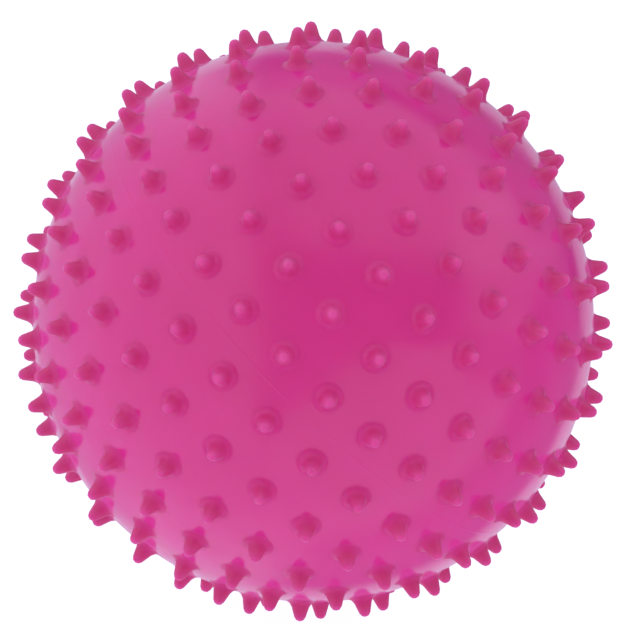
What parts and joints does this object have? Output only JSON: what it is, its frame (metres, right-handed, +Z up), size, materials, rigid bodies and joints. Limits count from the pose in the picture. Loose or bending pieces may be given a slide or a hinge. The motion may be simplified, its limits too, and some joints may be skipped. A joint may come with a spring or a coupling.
{
  "type": "sensory ball",
  "caption": "Hollow soft ball with rings of round-tipped moulded spikes for touch play, closed by a push-in plug in a bonded valve seat.",
  "frame": {"origin": "on the floor, straight below the centre of the ball, which stands on three spike tips", "axes": "+Z up, -Y towards the viewer of the ball's pictured face, +X to the viewer's right"},
  "size_m": [0.1772, 0.177, 0.1765],
  "materials": {
    "pink_pvc": "gloss",
    "seat_pvc": "satin",
    "plug_pvc": "satin"
  },
  "bodies": {
    "ball": {"ball_skin": "pink_pvc", "valve_seat": "seat_pvc"},
    "plug": {"valve_plug": "plug_pvc"}
  },
  "joints": [
    {"name": "plug_pull", "type": "slide", "parent": "ball", "child": "plug", "axis": [-0.6776, 0.1061, -0.7278], "range_m": [0, 0.016]}
  ]
}
